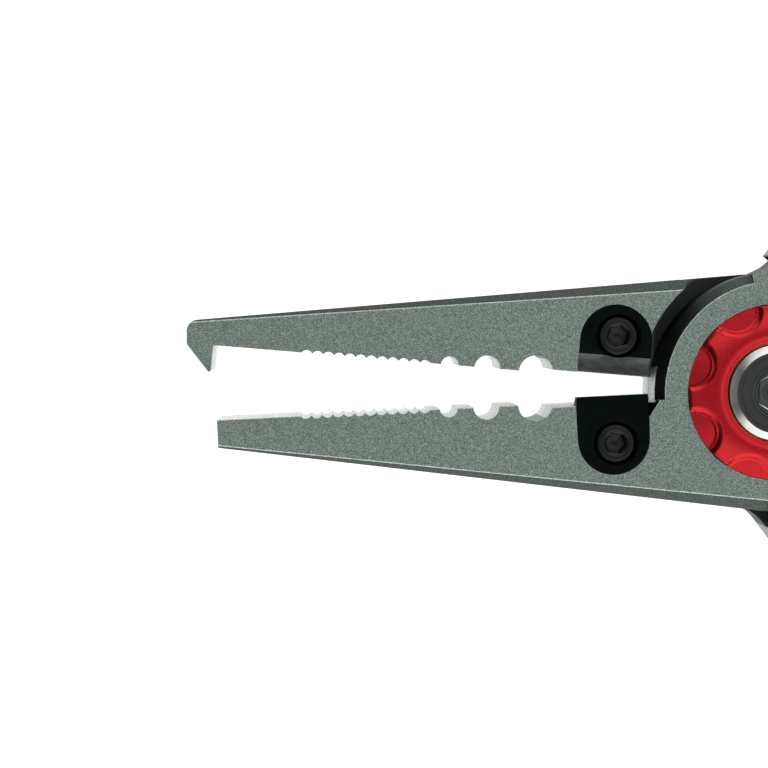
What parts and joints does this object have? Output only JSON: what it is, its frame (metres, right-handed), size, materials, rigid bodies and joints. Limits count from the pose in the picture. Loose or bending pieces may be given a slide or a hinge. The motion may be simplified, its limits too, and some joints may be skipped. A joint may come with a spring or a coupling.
{
  "type": "fishing pliers",
  "caption": "Flat lapped fishing pliers: hooked split-ring nose, grooved and crimping jaws, screwed-on side cutters, scalloped pivot ring, rubber grips.",
  "frame": {"origin": "on the pivot axis, at the outer face of the pivot nut, which is the face that the pliers lie on", "axes": "+X from the pivot towards the handles, +Z along the pivot axis towards the bolt head, +Y towards the hooked jaw's side"},
  "size_m": [0.1923, 0.0554, 0.0134],
  "materials": {
    "anodised": "bead-blasted grey-green anodised",
    "red_anodised": "satin red anodised",
    "bare_steel": "turned, with a polished bevel",
    "black_steel": "black oxide",
    "bronze": "turned",
    "grip_rubber": "matt, moulded texture"
  },
  "bodies": {
    "rear_side": {"rear_lever": "anodised", "pivot_bolt": "bare_steel", "pivot_nut": "bare_steel", "rear_pivot_ring": "red_anodised", "thrust_washer": "bronze", "torsion_spring": "bare_steel", "stop_pin": "bare_steel", "upper_cutter": "black_steel", "upper_cutter_screw": "black_steel", "rear_grip": "grip_rubber"},
    "front_side": {"front_lever": "anodised", "front_pivot_ring": "red_anodised", "pivot_bushing": "bronze", "head_washer": "bronze", "lower_cutter": "black_steel", "lower_cutter_screw": "black_steel", "front_grip": "grip_rubber"}
  },
  "joints": [
    {"name": "pivot", "type": "hinge", "parent": "rear_side", "child": "front_side", "pos_m": [0, 0, 0], "axis": [0, 0, 1], "range_deg": [-7.5, 25], "stiffness_Nm_per_rad": 0.15, "springref_deg": 85.94, "deforming": ["torsion_spring"]}
  ]
}
